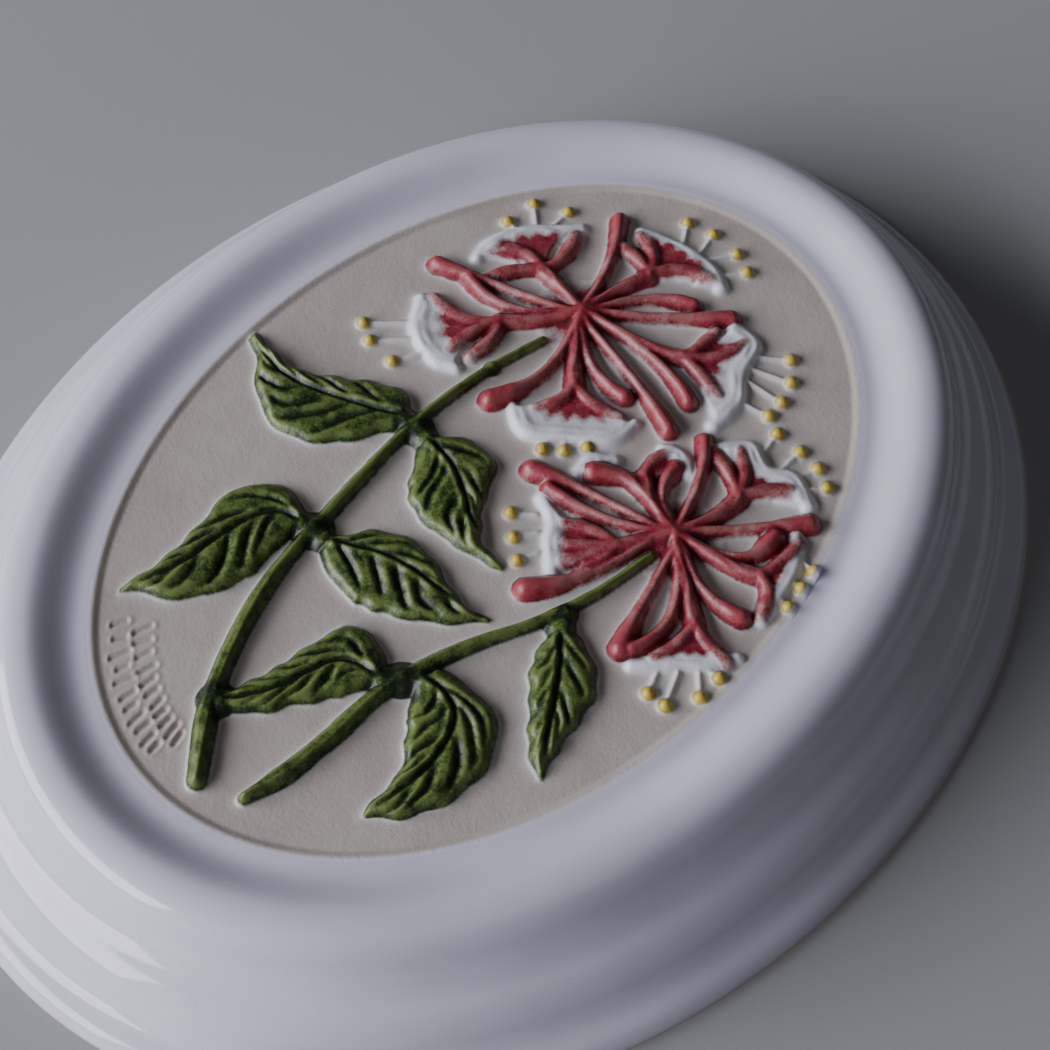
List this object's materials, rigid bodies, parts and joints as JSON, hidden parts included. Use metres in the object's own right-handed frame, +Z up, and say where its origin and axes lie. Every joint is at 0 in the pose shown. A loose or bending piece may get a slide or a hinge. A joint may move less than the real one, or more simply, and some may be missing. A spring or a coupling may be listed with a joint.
{
  "type": "oval relief wall plaque",
  "caption": "Oval glazed ceramic wall plaque with a honeysuckle spray in relief inside a moulded border, hollow at the back.",
  "frame": {"origin": "middle of the flat back rim at the top of the plaque, where it lies against the wall", "axes": "+Z up along the oval's long axis as it hangs, +Y into the wall, so the front faces -Y and +X is to the right"},
  "size_m": [0.2, 0.0281, 0.251],
  "materials": {
    "glaze": "glossy white tin-like glaze, with green, crimson and yellow glazes on the relief"
  },
  "bodies": {
    "root": {"plaque": "glaze"}
  },
  "joints": []
}
